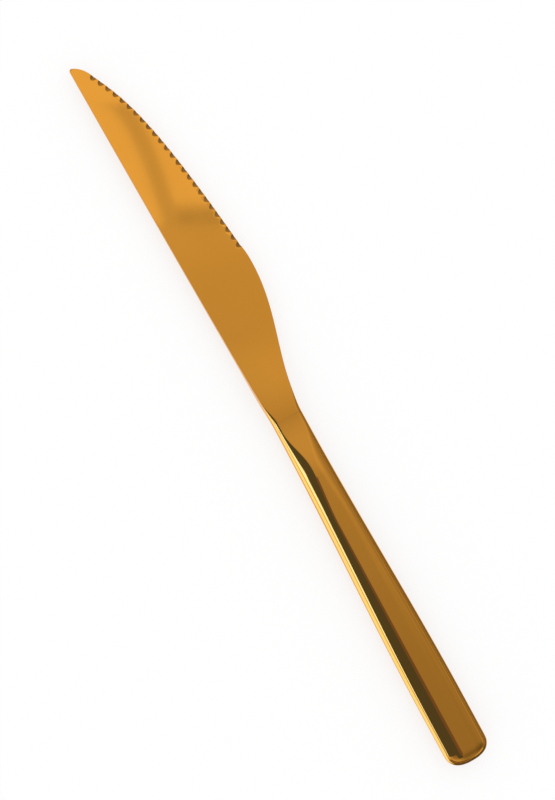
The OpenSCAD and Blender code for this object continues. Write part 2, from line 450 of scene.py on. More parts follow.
@dataclass
class Blade:
    """The blade's forging, with its gullets, spigot and tang, in millimetres.

    Each pull is a share of its curve's length, which sets how far a handle lies from the curve's end.
    """

    joint: JointSection
    length: float = 119.0
    belly_depth: float = 12.9
    heel_length: float = 44.5
    heel_pull: Pair = (0.35, 0.62)
    belly_length: float = 6.7
    belly_lift: float = 0.7
    belly_pull: Pair = (0.45, 0.3)
    belly_rise: float = 0.07
    sweep_pull: Pair = (0.73, 0.16)
    sweep_rise: Pair = (0.115, 0.5)
    nose_length: float = 3.8
    nose_height: float = 4.0
    nose_pull: Pair = (0.37, 0.2)
    nose_drop: float = 0.5
    spine_rise: float = 2.9
    spine_bow: float = 0.17
    tip_round: float = 0.7
    tip_land: float = 0.3
    thickness: float = 2.5
    tip_thickness: float = 1.1
    edge_thickness: float = 0.5
    neck_length: float = 28.0
    neck_round: float = 1.35
    round_length: float = 8.0
    corner_room: float = 0.3
    spine_corner: float = 0.05
    edge_corner: float = 0.15
    edge_drop: float = 0.25
    edge_least: float = 0.05
    gullets: int = 25
    gullet_pitch: float = 2.7
    gullet_radius: float = 1.7
    gullet_depth: float = 0.41
    gullet_tilt: float = math.radians(20.0)
    gullet_sides: int = 48
    spigot_length: float = 3.0
    spigot_inset: float = 1.2
    tang_length: float = 60.0
    tang_overlap: float = 1.0
    tang_root: float = 5.0
    tang_end: float = 3.4
    tang_end_share: float = 0.49
    tang_end_steps: int = 10
    tang_thickness: float = 1.8
    tang_notches: int = 4
    notch_radius: float = 0.7
    notch_sides: int = 24
    walk_steps: int = 256
    smooth_angle: float = math.radians(32.0)
    face_weight: int = 50
    corner_steps: int = 8
    face_steps: int = 24
    curve_steps: tuple[int, int, int, int] = (80, 10, 84, 26)
    curves: list[tuple[Vector, Vector, Vector, Vector]] = field(default_factory=list)

    def __post_init__(self) -> None:
        """Draws the four curves of the edge: heel, belly, sweep and nose."""
        half = self.joint.half_width
        tip = half + self.spine_rise - self.tip_round - self.tip_land
        heel_end = Vector((self.heel_length, -self.belly_depth))
        start = heel_end + Vector((self.belly_length, self.belly_lift))
        end = Vector((self.length - self.nose_length, tip - self.nose_height))
        pull_out, pull_in = ((end.x - start.x) * share for share in self.sweep_pull)
        rise_out, rise_in = (Vector((1.0, rise)) for rise in self.sweep_rise)
        self.curves = [
            (
                Vector((self.joint.braze, -half)),
                Vector((self.heel_pull[0] * self.heel_length, -half)),
                Vector((self.heel_pull[1] * self.heel_length, -self.belly_depth)),
                heel_end,
            ),
            (
                heel_end,
                heel_end + Vector((self.belly_pull[0] * self.belly_length, 0.0)),
                start - self.belly_length * Vector((self.belly_pull[1], self.belly_rise)),
                start,
            ),
            (start, start + pull_out * rise_out, end - pull_in * rise_in, end),
            (
                end,
                end + self.nose_pull[0] * self.nose_length * rise_in,
                Vector((
                    self.length - self.nose_pull[1] * self.nose_length,
                    tip - self.nose_drop * self.nose_height,
                )),
                Vector((self.length, tip)),
            ),
        ]

    def spine_at(self, x: float) -> float:
        """Gives the spine's height over the axis.

        Args:
            x: Distance from the joint.

        Returns:
            The height.
        """
        share = x / self.length
        past = max(x - (self.length - self.tip_round), 0.0)
        drop = self.tip_round - math.sqrt(max(self.tip_round**2 - past * past, 0.0))
        bow = 4.0 * self.spine_bow * share * (1.0 - share)
        return self.joint.half_width + self.spine_rise * share + bow - drop

    def station(self, place: Vector) -> BladeStation:
        """Works out the section at a point of the edge.

        Args:
            place: The point, as x and y.

        Returns:
            The section's sizes.
        """
        x, low = place
        high = self.spine_at(x)
        corner = smooth(x / self.round_length)
        swell = mix(self.joint.half_thickness, self.thickness / 2.0, smooth(x / self.neck_length))
        spine_half = swell - (self.thickness - self.tip_thickness) * x / self.length / 2.0
        edge_half = mix(spine_half, self.edge_thickness / 2.0, smooth(x / self.heel_length))
        room = self.corner_room * (high - low)
        spine_round = min(mix(self.neck_round, self.spine_corner, corner), room)
        edge_round = min(mix(self.neck_round, self.edge_corner, corner), room)
        spine_foot = mix(self.joint.weld_half, spine_half - self.spine_corner, corner)
        edge_foot = mix(self.joint.weld_half, max(edge_half - self.edge_drop, self.edge_least), corner)
        return BladeStation(
            x=x,
            spine=Corner(high, high - spine_round, spine_round, spine_half, spine_foot),
            edge=Corner(low, low + edge_round, edge_round, edge_half, edge_foot),
        )

    def stations(self) -> list[BladeStation]:
        """Lists the sections from the joint to the tip.

        Returns:
            The sections.
        """
        places = [self.curves[0][0]]
        for curve, steps in zip(self.curves, self.curve_steps):
            places += [bezier(curve, i / steps) for i in range(1, steps + 1)]
        return [self.station(place) for place in places]

    def reshape(self, loft: RowLoft, old: BladeStation, new: BladeStation) -> None:
        """Turns the row from one section's sizes to the next one's.

        Args:
            loft: The row, already pulled to its new place.
            old: The section it has.
            new: The section it gets.
        """
        corner, last = self.corner_steps, len(loft.row) - 1
        for whole, arc, was, now in (
            ((0, corner + 1), (1, corner + 1), old.spine, new.spine),
            ((last - corner - 1, last), (last - corner - 1, last - 1), old.edge, new.edge),
        ):
            grow = now.half / was.half
            tall = (now.half - now.foot) / ((was.half - was.foot) * grow)
            loft.choose(*whole)
            resize((1.0, now.radius / was.radius, grow), (new.x, was.inner, 0.0))
            move((0.0, now.inner - was.inner, 0.0))
            loft.choose(*arc)
            resize((1.0, 1.0, tall), (new.x, 0.0, now.half))
        loft.choose(corner + 2, last - corner - 2)
        wide = (new.spine.inner - new.edge.inner) / (old.spine.inner - old.edge.inner)
        steep = (new.edge.half - new.spine.half) / (old.edge.half - old.spine.half)
        resize((1.0, wide, steep), (new.x, old.spine.inner, old.spine.half))
        move((0.0, new.spine.inner - old.spine.inner, new.spine.half - old.spine.half))

    def forge(self) -> Piece:
        """Pulls one half of the blade both ways from its belly, then mirrors it and closes its ends.

        Returns:
            The blade's solid, without spigot, tang and gullets.
        """
        stations = self.stations()
        middle = self.curve_steps[0]
        start = stations[middle]
        loft = RowLoft("blade_forging")
        steps = (self.corner_steps, self.face_steps)
        loft.first_row(start.edge.outer, start.spine.outer, 1.0, steps, feet=True)
        self.first_section(loft, start)
        first = loft.row
        for run in (stations[middle:], stations[middle::-1]):
            for point in loft.row:
                point.select = False
            loft.row = first
            for old, new in zip(run, run[1:]):
                loft.pull(new.x - old.x)
                self.reshape(loft, old, new)
        close_mesh()
        half = loft.piece.modifiers.new("other half", "MIRROR")
        half.use_axis = (False, False, True)
        half.merge_threshold = NEAR
        apply_modifier(loft.piece, half)
        self.close_ends(loft.piece)
        return loft.piece

    def first_section(self, loft: RowLoft, at: BladeStation) -> None:
        """Gives the plane's rounded row the sizes of the belly's section.

        Args:
            loft: The row, two units tall with corners of radius one.
            at: The section at the belly.
        """
        corner, last = self.corner_steps, len(loft.row) - 1
        loft.choose(0, last)
        move((at.x, 0.0, 0.0))
        for foot in (0, last):
            loft.choose(foot, foot)
            move((0.0, 0.0, 1.0))
        for arc, now in (((1, corner + 1), at.spine), ((last - corner - 1, last - 1), at.edge)):
            loft.choose(*arc)
            resize((1.0, now.radius, now.half - now.foot), (at.x, now.outer, 0.0))
            move((0.0, 0.0, now.foot))
        for step in range(1, self.face_steps):
            share = step / self.face_steps
            place = corner + 1 + step
            point = loft.row[place].co
            across = mix(at.spine.inner, at.edge.inner, share)
            height = mix(at.spine.half, at.edge.half, share)
            loft.choose(place, place)
            move((0.0, across - point.y, height - point.z))

    def close_ends(self, piece: Piece) -> None:
        """Closes the tip and the shoulder, and draws the spigot out of the shoulder.

        Args:
            piece: The mirrored blade.
        """
        shoulder = self.joint.braze
        open_mesh(piece)
        for end in (shoulder, self.length):
            pick(piece, lambda place: abs(place.x - end) < NEAR)
            bpy.ops.mesh.edge_face_add()
        pick(piece, lambda place: abs(place.x - shoulder) < NEAR)
        narrow = 1.0 - self.spigot_inset / self.joint.half_width
        thin = 1.0 - self.spigot_inset / self.joint.half_thickness
        bpy.ops.mesh.extrude_region_move(TRANSFORM_OT_translate={"value": ORIGIN})
        resize((1.0, narrow, thin), (shoulder, 0.0, 0.0))
        drawn = -self.spigot_length - shoulder
        bpy.ops.mesh.extrude_region_move(TRANSFORM_OT_translate={"value": (drawn, 0.0, 0.0)})
        select_mesh()
        bpy.ops.mesh.normals_make_consistent(inside=False)
        close_mesh()

    def tang(self) -> Piece:
        """Models the tapered tang, round at its end and notched along both sides.

        Returns:
            The tang's solid.
        """
        root = self.tang_overlap - self.spigot_length
        deselect_all()
        bpy.ops.mesh.primitive_cube_add(size=1.0)
        piece = bpy.context.view_layer.objects.active
        piece.name = "tang"
        open_mesh(piece)
        select_mesh()
        reach = self.tang_length + root
        middle = root - reach / 2.0
        resize((reach, self.tang_root, self.tang_thickness))
        move((middle, 0.0, 0.0))
        pick(piece, lambda place: place.x < middle)
        taper = self.tang_end / self.tang_root
        resize((1.0, taper, 1.0))
        mesh = bmesh.from_edit_mesh(piece.data)
        for edge in mesh.edges:
            ends = [point.co for point in edge.verts]
            upright = abs(ends[0].y - ends[1].y) < NEAR
            edge.select = upright and all(end.x < middle for end in ends)
        bpy.ops.mesh.select_mode(type="EDGE")
        bpy.ops.mesh.bevel(
            offset=self.tang_end_share * self.tang_end,
            segments=self.tang_end_steps,
            profile=0.5,
            affect="EDGES",
        )
        close_mesh()
        combine(piece, self.notch_cutters(), "DIFFERENCE")
        return piece

    def notch_cutters(self) -> Piece:
        """Copies one round cutter to every notch of the tang.

        Returns:
            All the cutters as one object.
        """
        deselect_all()
        bpy.ops.mesh.primitive_cylinder_add(
            vertices=self.notch_sides, radius=self.notch_radius, depth=2.0 * self.tang_thickness
        )
        first = bpy.context.view_layer.objects.active
        end = self.tang_end / 2.0
        reach = self.tang_length - self.spigot_length - end
        cutters = []
        for i in range(1, self.tang_notches + 1):
            along = reach * i / (self.tang_notches + 1)
            half = mix(self.tang_root, self.tang_end, along / reach) / 2.0
            for side in (-1.0, 1.0):
                cutter = copy_of(first, "notch_cutter")
                cutter.location = (-self.spigot_length - along, side * half, 0.0)
                cutters.append(cutter)
        return self.joined(first, cutters)

    def joined(self, pattern: Piece, copies: list[Piece]) -> Piece:
        """Joins copies into one object and removes the pattern that they were made from.

        Args:
            pattern: The first one.
            copies: Its copies, in place.

        Returns:
            The joined object, with its place in its mesh.
        """
        bpy.data.objects.remove(pattern)
        deselect_all()
        for one in copies:
            one.select_set(True)
        bpy.context.view_layer.objects.active = copies[0]
        bpy.ops.object.join()
        bpy.ops.object.transform_apply(location=True, rotation=True, scale=True)
        return bpy.context.view_layer.objects.active

    def walk(self, distance: float) -> tuple[Vector, float]:
        """Finds a point and its heading at a distance along the sweep.

        Args:
            distance: Length along the edge from the serration's start.

        Returns:
            The point, and the heading as an angle from +X.
        """
        points = [bezier(self.curves[2], i / self.walk_steps) for i in range(self.walk_steps + 1)]
        for before, after in zip(points, points[1:]):
            step = after - before
            if distance <= step.length:
                break
            distance -= step.length
        return before + step * (distance / step.length), math.atan2(step.y, step.x)

    def gullet_cutters(self, ground: Material) -> Piece:
        """Copies one grinding wheel's rim to every gullet.

        Args:
            ground: Finish that the wheel leaves, its colour darkened as painted shade in the hollows.

        Returns:
            All the cutters as one object.
        """
        run_out = self.gullet_depth / math.tan(self.gullet_tilt) + 2.0 * self.gullet_radius
        depth = run_out + 2.0 * self.gullet_radius
        deselect_all()
        bpy.ops.mesh.primitive_cylinder_add(
            vertices=self.gullet_sides, radius=self.gullet_radius, depth=depth
        )
        first = bpy.context.view_layer.objects.active
        first.data.materials.append(ground)
        floor = self.edge_thickness / 2.0 - self.gullet_depth
        height = floor + self.gullet_radius / math.cos(self.gullet_tilt)
        cutters = []
        for i in range(self.gullets):
            place, heading = self.walk(i * self.gullet_pitch)
            cutter = copy_of(first, "gullet_cutter")
            turn = Matrix.Rotation(heading + math.pi / 2.0, 4, "Z")
            turn @= Matrix.Rotation(math.pi / 2.0 - self.gullet_tilt, 4, "Y")
            axis = turn @ Vector((0.0, 0.0, 1.0))
            centre = Vector((place.x, place.y, height)) + axis * (run_out / 2.0 - self.gullet_radius)
            cutter.matrix_world = Matrix.Translation(centre) @ turn
            cutters.append(cutter)
        return self.joined(first, cutters)

    def build(self, face: Material, ground: Material) -> Piece:
        """Makes the blade.

        Args:
            face: Finish of the forging.
            ground: Finish inside the gullets, rougher than the blade and darkened as painted shade.

        Returns:
            The piece, about the joint.
        """
        piece = self.forge()
        piece.data.materials.append(face)
        combine(piece, self.tang(), "UNION")
        combine(piece, self.gullet_cutters(ground), "DIFFERENCE")
        take_up(piece)
        bpy.ops.object.shade_smooth_by_angle(angle=self.smooth_angle)
        even = piece.modifiers.new("even shading", "WEIGHTED_NORMAL")
        even.weight = self.face_weight
        even.keep_sharp = True
        apply_modifier(piece, even)
        return piece


@dataclass(frozen=True)
class HandleStation:
    """Sizes of the upper shell's section at one place along the handle."""

    x: float
    half_width: float
    top: float
    half_flat: float


@dataclass
class Handle:
    """The two pressed shells, the weld between them and the braze at their mouth, in millimetres."""

    joint: JointSection
    length: float = 113.0
    thickness: float = 7.0
    width: float = 13.5
    flat: float = 3.6
    flare_length: float = 95.0
    shoulder_length: float = 19.5
    mouth_length: float = 3.0
    waist_length: float = 16.0
    waist: float = 1.2
    widen_length: float = 18.0
    butt_plan: float = 5.0
    butt_side: float = 4.0
    butt_fullness: Pair = (2.5, 2.2)
    butt_merge: float = 1e-4
    braze_sink: float = 0.02
    smooth_angle: float = math.radians(40.0)
    flank_steps: int = 28
    flat_steps: int = 12
    shoulder_steps: int = 40
    grip_steps: int = 56
    butt_steps: int = 24

    def station(self, back: float) -> HandleStation:
        """Works out the section at a distance behind the joint.

        Args:
            back: The distance.

        Returns:
            The section's sizes.
        """
        plan = rounding(back - (self.length - self.butt_plan), self.butt_plan, self.butt_fullness[0])
        side = rounding(back - (self.length - self.butt_side), self.butt_side, self.butt_fullness[1])
        shoulder = smooth(back / self.shoulder_length)
        weld = self.joint.weld_half
        half = mix(self.joint.half_thickness, self.thickness / 2.0, shoulder)
        past = (back - self.mouth_length) / (self.waist_length - self.mouth_length)
        narrow = mix(self.joint.half_flat, self.waist / 2.0, smooth(past))
        flat = mix(narrow, self.flat / 2.0, smooth((back - self.waist_length) / self.widen_length))
        flare = smooth(back / self.flare_length)
        return HandleStation(
            x=-back,
            half_width=mix(self.joint.half_width, self.width / 2.0, flare) * plan,
            top=weld + (half - weld) * side,
            half_flat=flat * plan,
        )

    def stations(self) -> list[HandleStation]:
        """Lists the sections from the mouth to just short of the butt's end.

        Returns:
            The sections.
        """
        start = self.length - self.butt_plan
        places = [self.shoulder_length * i / self.shoulder_steps for i in range(self.shoulder_steps)]
        grip = start - self.shoulder_length
        places += [self.shoulder_length + grip * i / self.grip_steps for i in range(self.grip_steps)]
        turn = math.pi / 2.0 / self.butt_steps
        places += [start + self.butt_plan * math.sin(turn * i) for i in range(self.butt_steps)]
        return [self.station(back) for back in places]

    def skin(self) -> Piece:
        """Pulls the upper shell's outer skin from the mouth to the butt.

        Returns:
            The skin, open along the weld and at the mouth.
        """
        stations = self.stations()
        weld, first = self.joint.weld_half, stations[0]
        reach = first.half_width - first.half_flat
        loft = RowLoft("handle_skin")
        loft.first_row(
            -first.half_width, first.half_width, reach, (self.flank_steps, self.flat_steps), feet=False
        )
        last = len(loft.row) - 1
        loft.choose(0, last)
        resize((1.0, 1.0, (first.top - weld) / reach))
        move((0.0, 0.0, weld))
        for old, new in zip(stations, stations[1:]):
            loft.pull(new.x - old.x)
            narrow = new.half_flat / old.half_flat
            resize((1.0, narrow, (new.top - weld) / (old.top - weld)), (new.x, 0.0, weld))
            wide = (new.half_width - new.half_flat) / ((old.half_width - old.half_flat) * narrow)
            for first_point, last_point, edge in (
                (0, self.flank_steps, new.half_flat),
                (last - self.flank_steps, last, -new.half_flat),
            ):
                loft.choose(first_point, last_point)
                resize((1.0, wide, 1.0), (new.x, edge, 0.0))
        loft.pull(-self.length - stations[-1].x)
        resize((1.0, 0.0, 0.0), (-self.length, 0.0, weld))
        bpy.ops.mesh.remove_doubles(threshold=self.butt_merge)
        self.face_outwards(loft.piece)
        close_mesh()
        return loft.piece

    def face_outwards(self, piece: Piece) -> None:
        """Makes an open skin's faces agree, looking away from the handle's axis.

        Args:
            piece: The skin in edit mode.
        """
        select_mesh()
        bpy.ops.mesh.normals_make_consistent(inside=False)
        outward = 0.0
        for face in bmesh.from_edit_mesh(piece.data).faces:
            place = face.calc_center_median()
            outward += face.normal.y * place.y + face.normal.z * place.z
        if outward < 0.0:
            bpy.ops.mesh.flip_normals()

    def lower_skin(self, upper: Piece) -> Piece:
        """Copies the upper skin and turns it over about the middle plane.

        Args:
            upper: The upper shell's skin.

        Returns:
            The lower shell's skin.
        """
        piece = copy_of(upper, "lower_shell_pressing")
        open_mesh(piece)
        select_mesh()
        resize((1.0, 1.0, -1.0))
        self.face_outwards(piece)
        close_mesh()
        return piece

    def weld(self, upper: Piece) -> Piece:
        """Draws the weld's bead down from the upper skin's lower edge.

        Args:
            upper: The upper shell's skin.

        Returns:
            The bead.
        """
        half = self.joint.weld_half
        piece = copy_of(upper, "seam_weld_bead")
        open_mesh(piece)
        pick(piece, lambda place: place.z > half + NEAR)
        bpy.ops.mesh.delete(type="VERT")
        select_mesh()
        bpy.ops.mesh.delete(type="ONLY_FACE")
        select_mesh()
        bpy.ops.mesh.extrude_edges_move(TRANSFORM_OT_translate={"value": (0.0, 0.0, -2.0 * half)})
        self.face_outwards(piece)
        close_mesh()
        give_thickness(piece, self.joint.wall)
        return piece

    def braze(self, upper: Piece) -> Piece:
        """Closes the mouth's row to an oval and draws the braze forward from it.

        Args:
            upper: The upper shell's skin.

        Returns:
            The ring.
        """
        piece = copy_of(upper, "mouth_braze")
        open_mesh(piece)
        pick(piece, lambda place: place.x < -NEAR)
        bpy.ops.mesh.delete(type="VERT")
        select_mesh()
        bpy.ops.mesh.duplicate_move()
        resize((1.0, 1.0, -1.0))
        for side in (-1.0, 1.0):
            pick(piece, lambda place: abs(place.y - side * self.joint.half_width) < NEAR)
            bpy.ops.mesh.edge_face_add()
        select_mesh()
        narrow = 1.0 - self.braze_sink / self.joint.half_width
        thin = 1.0 - self.braze_sink / self.joint.half_thickness
        resize((1.0, narrow, thin))
        bpy.ops.mesh.extrude_edges_move(TRANSFORM_OT_translate={"value": (self.joint.braze, 0.0, 0.0)})
        self.face_outwards(piece)
        close_mesh()
        give_thickness(piece, self.joint.wall - self.braze_sink)
        return piece

    def build(
        self, metal: Material, bead: Material, braze: Material
    ) -> dict[Node, Piece]:
        """Makes the handle's pieces.

        Args:
            metal: Finish of the two shells.
            bead: Finish of the weld.
            braze: Finish of the braze.

        Returns:
            The pieces about the joint, each under the solid that it stands for.
        """
        upper = self.skin()
        pieces = {
            Node.WELD: self.weld(upper),
            Node.BRAZE: self.braze(upper),
            Node.LOWER_SHELL: self.lower_skin(upper),
            Node.UPPER_SHELL: upper,
        }
        upper.name = upper.data.name = "upper_shell_pressing"
        give_thickness(upper, self.joint.wall)
        give_thickness(pieces[Node.LOWER_SHELL], self.joint.wall)
        finishes = {Node.WELD: bead, Node.BRAZE: braze, Node.LOWER_SHELL: metal, Node.UPPER_SHELL: metal}
        for node, piece in pieces.items():
            piece.data.materials.append(finishes[node])
            take_up(piece)
            bpy.ops.object.shade_smooth_by_angle(angle=self.smooth_angle)
        return pieces


def add_node(tree: Tree, kind: str, values: Values, **settings: str) -> bpy.types.Node:
    """Adds a node, makes its settings and then gives its inputs their values.

    Args:
        tree: The node tree.
        kind: The node's type.
        values: Values of its inputs.
        settings: Its settings, such as the operation.

    Returns:
        The node.
    """
    node = tree.nodes.new(kind)
    for name, setting in settings.items():
        setattr(node, name, setting)
    for name, value in values.items():
        node.inputs[name].default_value = value
    return node


def wire(tree: Tree, *pairs: tuple[Socket, Socket]) -> None:
    """Links outputs to inputs.

    Args:
        tree: The node tree.
        pairs: Each output with the input that it feeds.
    """
    for source, target in pairs:
        tree.links.new(source, target)


def blend(
    tree: Tree, share: Socket, first: Colour, second: Colour
) -> Socket:
    """Mixes two colours.

    Args:
        tree: The node tree.
        share: How much of the second colour shows.
        first: The first colour.
        second: The second colour.

    Returns:
        The mixed colour.
    """
    ends = {"A": (*first, 1.0), "B": (*second, 1.0)}
    colours = add_node(tree, "ShaderNodeMix", ends, data_type="RGBA")
    tree.links.new(share, colours.inputs["Factor"])
    return colours.outputs["Result"]


def new_material(name: str) -> Material:
    """Starts a material with nodes.

    Args:
        name: Its name.

    Returns:
        The material.
    """
    made = bpy.data.materials.new(name)
    made.use_nodes = True
    return made


class Effect(Enum):
    """Surface effects that several finishes share, each a node group."""

    CLOUD = "soft cloud"
    BUFFING = "buffing lines"
    HAZE = "handling haze"


class Effects:
    """Builds each shared effect once."""

    # How many times finer the breaks in a smear are than the smear itself
    FINENESS = 9.0

    def __init__(self) -> None:
        """Builds the node groups."""
        self.groups: dict[Effect, Tree] = {
            Effect.CLOUD: self.cloud(),
            Effect.BUFFING: self.buffing(),
            Effect.HAZE: self.haze(),
        }

    def blank(self, effect: Effect, inputs: dict[str, float]) -> Tree:
        """Starts a group that reads a vector and puts out one value.

        Args:
            effect: Which effect it is.
            inputs: Names and first values of its number inputs.

        Returns:
            The group, with its input and output nodes.
        """
        tree = bpy.data.node_groups.new(effect.value, "ShaderNodeTree")
        tree.interface.new_socket(name="Vector", in_out="INPUT", socket_type="NodeSocketVector")
        for name, value in inputs.items():
            socket = tree.interface.new_socket(name=name, in_out="INPUT", socket_type="NodeSocketFloat")
            socket.default_value = value
        tree.interface.new_socket(name="Value", in_out="OUTPUT", socket_type="NodeSocketFloat")
        tree.nodes.new("NodeGroupInput").name = "in"
        tree.nodes.new("NodeGroupOutput").name = "out"
        return tree

    def cloud(self) -> Tree:
        """Builds a soft cloud between two values.

        Returns:
            The group.
        """
        tree = self.blank(Effect.CLOUD, {"Scale": 40.0, "Low": 0.0, "High": 1.0})
        source, out = tree.nodes["in"], tree.nodes["out"]
        noise = add_node(tree, "ShaderNodeTexNoise", {"Detail": 2.0, "Roughness": 0.45})
        limits = {"From Min": 0.3, "From Max": 0.7}
        spread = add_node(tree, "ShaderNodeMapRange", limits, interpolation_type="SMOOTHSTEP")
        wire(
            tree,
            (source.outputs["Vector"], noise.inputs["Vector"]),
            (source.outputs["Scale"], noise.inputs["Scale"]),
            (noise.outputs["Fac"], spread.inputs["Value"]),
            (source.outputs["Low"], spread.inputs["To Min"]),
            (source.outputs["High"], spread.inputs["To Max"]),
            (spread.outputs["Result"], out.inputs["Value"]),
        )
        return tree

    def buffing(self) -> Tree:
        """Builds fine lines that a buffing wheel leaves along X.

        Returns:
            The group.
        """
        tree = self.blank(Effect.BUFFING, {"Across": 9000.0, "Along": 160.0})
        source, out = tree.nodes["in"], tree.nodes["out"]
        pitch = add_node(tree, "ShaderNodeCombineXYZ", {})
        pull = add_node(tree, "ShaderNodeVectorMath", {}, operation="MULTIPLY")
        noise = add_node(tree, "ShaderNodeTexNoise", {"Scale": 1.0, "Detail": 3.0, "Roughness": 0.6})
        wire(
            tree,
            (source.outputs["Along"], pitch.inputs["X"]),
            (source.outputs["Across"], pitch.inputs["Y"]),
            (source.outputs["Across"], pitch.inputs["Z"]),
            (source.outputs["Vector"], pull.inputs[0]),
            (pitch.outputs["Vector"], pull.inputs[1]),
            (pull.outputs["Vector"], noise.inputs["Vector"]),
            (noise.outputs["Fac"], out.inputs["Value"]),
        )
        return tree

    def haze(self) -> Tree:
        """Builds the patches that handling leaves on a polish: broad smears broken up by finer ones.

        Returns:
            The group.
        """
        tree = self.blank(Effect.HAZE, {"Scale": 60.0, "Amount": 0.5})
        source, out = tree.nodes["in"], tree.nodes["out"]
        broad = add_node(tree, "ShaderNodeTexNoise", {"Detail": 4.0, "Distortion": 0.8})
        finer, broken, amount = (add_node(tree, "ShaderNodeMath", {}, operation="MULTIPLY") for _ in range(3))
        finer.inputs[1].default_value = self.FINENESS
        fine = add_node(tree, "ShaderNodeTexNoise", {"Detail": 5.0})
        limits = {"From Min": 0.52, "From Max": 0.72}
        patch = add_node(tree, "ShaderNodeMapRange", limits, interpolation_type="SMOOTHSTEP")
        wire(
            tree,
            (source.outputs["Vector"], broad.inputs["Vector"]),
            (source.outputs["Scale"], broad.inputs["Scale"]),
            (source.outputs["Scale"], finer.inputs[0]),
            (source.outputs["Vector"], fine.inputs["Vector"]),
            (finer.outputs["Value"], fine.inputs["Scale"]),
            (broad.outputs["Fac"], patch.inputs["Value"]),
            (patch.outputs["Result"], broken.inputs[0]),
            (fine.outputs["Fac"], broken.inputs[1]),
            (broken.outputs["Value"], amount.inputs[0]),
            (source.outputs["Amount"], amount.inputs[1]),
            (amount.outputs["Value"], out.inputs["Value"]),
        )
        return tree

    def place(
        self, material: Material, effect: Effect, values: dict[str, float]
    ) -> Socket:
        """Puts an effect in a material, on Object coordinates.

        Args:
            material: The material.
            effect: Which effect.
            values: The material's own values for its inputs.

        Returns:
            The effect's output.
        """
        tree = material.node_tree
        spot = tree.nodes.get("place") or tree.nodes.new("ShaderNodeTexCoord")
        spot.name = "place"
        group = tree.nodes.new("ShaderNodeGroup")
        group.node_tree = self.groups[effect]
        for name, value in values.items():
            group.inputs[name].default_value = value
        tree.links.new(spot.outputs["Object"], group.inputs["Vector"])
        return group.outputs["Value"]


@dataclass(frozen=True)
class GoldFinish:
    """A thin gold-coloured coating on polished steel."""

    name: str
    colour: Colour
    deep_colour: Colour
    roughness: float
    rubbed: float
    haze: float
    haze_scale: float
    tone_scale: float
    line_pitch: float
    line_length: float
    line_height: float
    line_range: Pair = (0.25, 0.75)
    grazing_tint: Colour = (1.0, 0.86, 0.62)

    def material(self, effects: Effects) -> Material:
        """Builds the finish.

        Args:
            effects: The shared effects.

        Returns:
            The material.
        """
        made = new_material(self.name)
        tree = made.node_tree
        shader = tree.nodes["Principled BSDF"]
        shader.inputs["Metallic"].default_value = 1.0
        shader.inputs["Specular Tint"].default_value = (*self.grazing_tint, 1.0)
        tone = effects.place(made, Effect.CLOUD, {"Scale": self.tone_scale, "Low": 0.0, "High": 1.0})
        spacing = {"Across": self.line_pitch, "Along": self.line_length}
        lines = effects.place(made, Effect.BUFFING, spacing)
        smears = effects.place(made, Effect.HAZE, {"Scale": self.haze_scale, "Amount": self.haze})
        limits = {
            "From Min": self.line_range[0],
            "From Max": self.line_range[1],
            "To Min": self.roughness,
            "To Max": self.roughness + self.rubbed,
        }
        rubbed = add_node(tree, "ShaderNodeMapRange", limits)
        total = add_node(tree, "ShaderNodeMath", {}, operation="ADD")
        grain = add_node(tree, "ShaderNodeBump", {"Strength": 1.0, "Distance": self.line_height})
        wire(
            tree,
            (blend(tree, tone, self.colour, self.deep_colour), shader.inputs["Base Color"]),
            (lines, rubbed.inputs["Value"]),
            (rubbed.outputs["Result"], total.inputs[0]),
            (smears, total.inputs[1]),
            (total.outputs["Value"], shader.inputs["Roughness"]),
            (lines, grain.inputs["Height"]),
            (grain.outputs["Normal"], shader.inputs["Normal"]),
        )
        return made


@dataclass(frozen=True)
class CementFinish:
    """Cast cement, grey with darker grains."""

    name: str
    colour: Colour
    grain_colour: Colour
    roughness: float
    grain_scale: float = 900.0
    dust_scale: float = 400.0
    dust_spread: float = 0.1
    pit_depth: float = 0.0002

    def material(self, effects: Effects) -> Material:
        """Builds the finish.

        Args:
            effects: The shared effects.

        Returns:
            The material.
        """
        made = new_material(self.name)
        tree = made.node_tree
        shader = tree.nodes["Principled BSDF"]
        grains = effects.place(made, Effect.HAZE, {"Scale": self.grain_scale, "Amount": 1.0})
        spread = {"Low": self.roughness - self.dust_spread, "High": self.roughness + self.dust_spread}
        dust = effects.place(made, Effect.CLOUD, {"Scale": self.dust_scale, **spread})
        pits = add_node(tree, "ShaderNodeBump", {"Distance": self.pit_depth})
        wire(
            tree,
            (blend(tree, grains, self.colour, self.grain_colour), shader.inputs["Base Color"]),
            (dust, shader.inputs["Roughness"]),
            (grains, pits.inputs["Height"]),
            (pits.outputs["Normal"], shader.inputs["Normal"]),
        )
        return made


class CardAxes(Enum):
    """Directions that a card's sides follow, and where its place is measured from."""

    PICTURE = "right and up in the picture, from its middle"
    KNIFE = "X and Y of the frame, from its origin"


@dataclass(frozen=True)
class Card:
    """An evenly bright card that shows only in reflections, in metres.

    Its lines cut it, and what lies to the left of each line's run is kept.
    """

    name: str
    axes: CardAxes
    middle: Pair
    height: float
    size: Pair
    level: Colour
    turn: float = 0.0
    upright: bool = False
    lines: tuple[Line, ...] = ()


# Heights of the ceiling, of a standing card's middle and of a card that lies on the floor
CEILING, STANDING, LYING = 0.6, 0.165, 0.0003
# Spacing of the cards that hang below the ceiling, where each hides the ones before it
LAYER = 0.0005
WIDE: Pair = (6.8, 6.8)
WHITE: Colour = (1.0, 1.0, 1.0)
DARK_LEVEL: Colour = (0.10, 0.135, 0.24)
EDGE_SIDE_LEVEL: Colour = (0.28, 0.28, 0.28)
BUTT_SIDE_LEVEL: Colour = (0.16, 0.16, 0.16)
DARK_START: Line = ((-1.0, 0.022), (1.0, 0.022))
BUTT_LINE: Line = ((-0.530, 1.900), (-0.200, 0.0))
